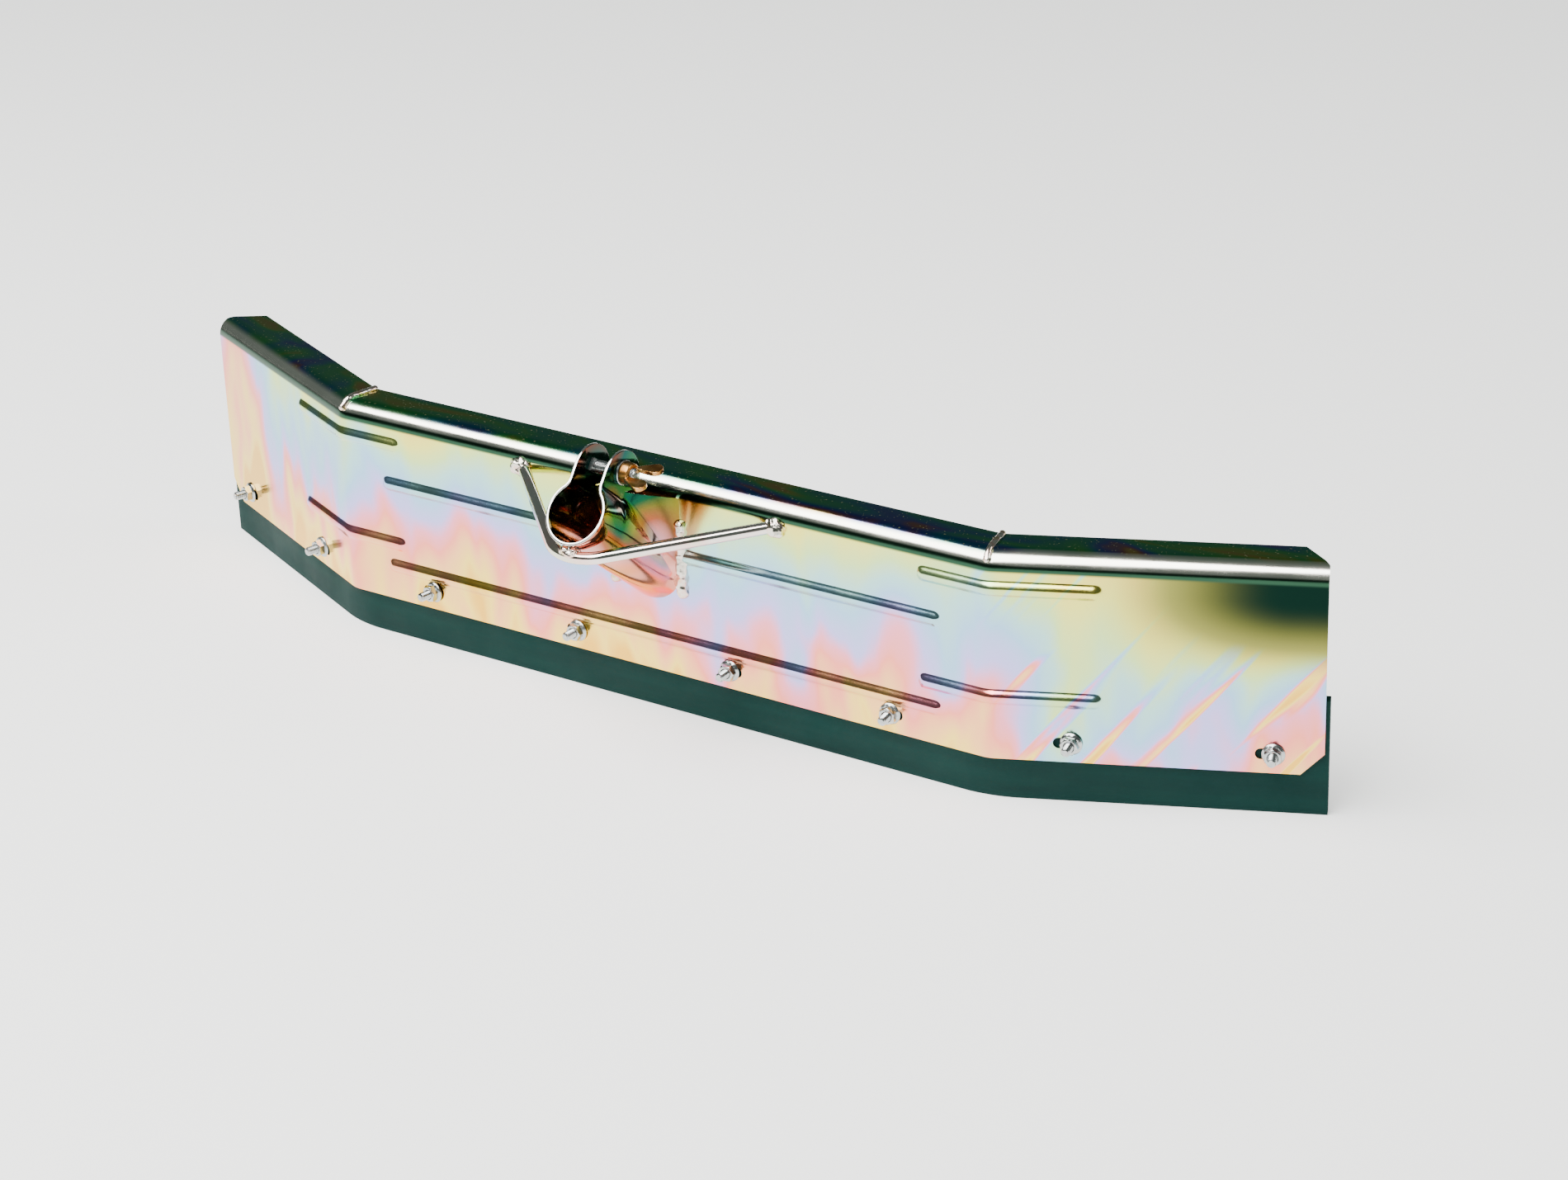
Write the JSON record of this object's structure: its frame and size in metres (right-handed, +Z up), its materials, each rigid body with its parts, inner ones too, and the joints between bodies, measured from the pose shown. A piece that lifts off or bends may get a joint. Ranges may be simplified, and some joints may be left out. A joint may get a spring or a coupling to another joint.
{
  "type": "yard scraper head",
  "caption": "Scraper head for a pole: bent plated steel blade with a folded top flange, a bolted rubber lip, a braced pole clamp and a wing nut.",
  "frame": {"origin": "middle of the rubber lip's bottom face, under the centre facet", "axes": "+Z up, +X along the centre facet, -Y towards the person who holds the pole"},
  "size_m": [0.8684, 0.1856, 0.1906],
  "materials": {
    "chromated_steel": "zinc plated and yellow chromated, iridescent",
    "zinc_plated_steel": "bright zinc plated",
    "weld_metal": "weld bead under plating",
    "lip_rubber": "matt moulded rubber"
  },
  "bodies": {
    "scraper_frame": {"blade": "chromated_steel", "brace_rod": "chromated_steel", "brace_weld_front": "weld_metal", "brace_weld_left": "weld_metal", "brace_weld_right": "weld_metal", "clamp_bolt": "chromated_steel", "clamp_weld_left": "weld_metal", "clamp_weld_right": "weld_metal", "flange_weld_left": "weld_metal", "flange_weld_right": "weld_metal", "lip_bolt_1": "zinc_plated_steel", "lip_bolt_2": "zinc_plated_steel", "lip_bolt_3": "zinc_plated_steel", "lip_bolt_4": "zinc_plated_steel", "lip_bolt_5": "zinc_plated_steel", "lip_bolt_6": "zinc_plated_steel", "lip_bolt_7": "zinc_plated_steel", "lip_bolt_8": "zinc_plated_steel", "lip_nut_1": "zinc_plated_steel", "lip_nut_2": "zinc_plated_steel", "lip_nut_3": "zinc_plated_steel", "lip_nut_4": "zinc_plated_steel", "lip_nut_5": "zinc_plated_steel", "lip_nut_6": "zinc_plated_steel", "lip_nut_7": "zinc_plated_steel", "lip_nut_8": "zinc_plated_steel", "lip_washer_1": "zinc_plated_steel", "lip_washer_2": "zinc_plated_steel", "lip_washer_3": "zinc_plated_steel", "lip_washer_4": "zinc_plated_steel", "lip_washer_5": "zinc_plated_steel", "lip_washer_6": "zinc_plated_steel", "lip_washer_7": "zinc_plated_steel", "lip_washer_8": "zinc_plated_steel", "pole_clamp": "chromated_steel", "rubber_lip": "lip_rubber"},
    "nut_carrier": {"wing_nut_washer": "chromated_steel"},
    "wing_nut": {"wing_nut": "chromated_steel"}
  },
  "joints": [
    {"name": "wing_nut_travel", "type": "slide", "parent": "scraper_frame", "child": "nut_carrier", "axis": [1, 0, 0], "range_m": [0, 0.005]},
    {"name": "wing_nut_spin", "type": "hinge", "parent": "nut_carrier", "child": "wing_nut", "pos_m": [0.0141, -0.04263, 0.17669], "axis": [1, 0, 0], "range_deg": [0, 1440]}
  ],
  "couplings": [
    {"joint": "wing_nut_spin", "follows": "wing_nut_travel", "rad_per_m": 5026.5}
  ]
}
